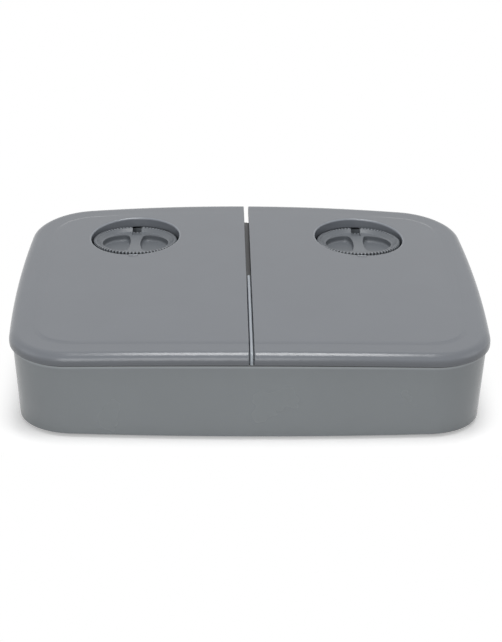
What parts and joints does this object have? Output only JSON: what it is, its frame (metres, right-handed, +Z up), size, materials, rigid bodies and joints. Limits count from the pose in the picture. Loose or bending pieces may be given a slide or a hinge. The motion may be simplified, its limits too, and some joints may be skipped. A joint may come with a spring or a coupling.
{
  "type": "two-meal pet feeder",
  "caption": "Wedge-shaped pet feeder with side-by-side hinged lids over food trays, each released by its own knurled timer dial.",
  "frame": {"origin": "bottom centre of the bounding box, on the surface the feet rest on", "axes": "+X to the right, +Y to the hinges at the back, +Z up"},
  "size_m": [0.33, 0.25, 0.0877],
  "materials": {
    "lid_plastic": "satin mid grey",
    "dial_plastic": "satin mid grey",
    "base_plastic": "satin mid grey",
    "deck_plastic": "satin dark grey",
    "tray_plastic": "glossy light grey",
    "seal_rubber": "matte black",
    "foot_rubber": "matte black",
    "pin_steel": "plain steel",
    "spring_steel": "spring steel",
    "screw_steel": "zinc plated",
    "motor_steel": "pressed steel can",
    "gear_plastic": "natural white",
    "timer_plastic": "matte black",
    "cell_metal": "plain dark sleeve",
    "contact_metal": "nickel plated"
  },
  "bodies": {
    "base": {"base_shell": "base_plastic", "feet": "foot_rubber", "deck": "deck_plastic", "deck_screws": "screw_steel", "tray_left": "tray_plastic", "tray_right": "tray_plastic", "hinge_pin_left": "pin_steel", "hinge_pin_right": "pin_steel", "lid_spring_left": "spring_steel", "lid_spring_right": "spring_steel", "motor_left": "motor_steel", "motor_right": "motor_steel", "timer_case_left": "timer_plastic", "timer_case_right": "timer_plastic", "timer_cover_left": "timer_plastic", "timer_cover_right": "timer_plastic", "timer_screws_left": "screw_steel", "timer_screws_right": "screw_steel", "battery": "cell_metal", "contact_plates": "contact_metal", "contact_spring": "contact_metal"},
    "lid_left": {"lid_left": "lid_plastic", "lid_gasket_left": "seal_rubber"},
    "lid_right": {"lid_right": "lid_plastic", "lid_gasket_right": "seal_rubber"},
    "dial_left": {"dial_left": "dial_plastic", "spindle_left": "gear_plastic"},
    "dial_right": {"dial_right": "dial_plastic", "spindle_right": "gear_plastic"},
    "idler_left": {"idler_gear_left": "gear_plastic"},
    "idler_right": {"idler_gear_right": "gear_plastic"},
    "pinion_left": {"motor_pinion_left": "gear_plastic"},
    "pinion_right": {"motor_pinion_right": "gear_plastic"},
    "battery_door": {"battery_door": "base_plastic"}
  },
  "joints": [
    {"name": "lid_left_hinge", "type": "hinge", "parent": "base", "child": "lid_left", "pos_m": [0, 0.1155, 0.07841], "axis": [-1, 0, 0], "range_deg": [0, 75]},
    {"name": "lid_right_hinge", "type": "hinge", "parent": "base", "child": "lid_right", "pos_m": [0, 0.1155, 0.07841], "axis": [-1, 0, 0], "range_deg": [0, 75]},
    {"name": "dial_left_turn", "type": "hinge", "parent": "base", "child": "dial_left", "pos_m": [-0.084, 0.064, 0.07], "axis": [0, 0, 1], "continuous": true},
    {"name": "idler_left_turn", "type": "hinge", "parent": "base", "child": "idler_left", "pos_m": [-0.06321, 0.076, 0.045], "axis": [0, 0, 1], "continuous": true},
    {"name": "pinion_left_turn", "type": "hinge", "parent": "base", "child": "pinion_left", "pos_m": [-0.05747, 0.06021, 0.043], "axis": [0, 0, 1], "continuous": true},
    {"name": "dial_right_turn", "type": "hinge", "parent": "base", "child": "dial_right", "pos_m": [0.084, 0.064, 0.07], "axis": [0, 0, 1], "continuous": true},
    {"name": "idler_right_turn", "type": "hinge", "parent": "base", "child": "idler_right", "pos_m": [0.06321, 0.076, 0.045], "axis": [0, 0, 1], "continuous": true},
    {"name": "pinion_right_turn", "type": "hinge", "parent": "base", "child": "pinion_right", "pos_m": [0.05747, 0.06021, 0.043], "axis": [0, 0, 1], "continuous": true},
    {"name": "battery_door_slide", "type": "slide", "parent": "base", "child": "battery_door", "axis": [0, 1, 0], "range_m": [0, 0.008]}
  ],
  "couplings": [
    {"joint": "idler_left_turn", "follows": "dial_left_turn", "ratio": -3},
    {"joint": "pinion_left_turn", "follows": "dial_left_turn", "ratio": 9},
    {"joint": "idler_right_turn", "follows": "dial_right_turn", "ratio": -3},
    {"joint": "pinion_right_turn", "follows": "dial_right_turn", "ratio": 9}
  ]
}
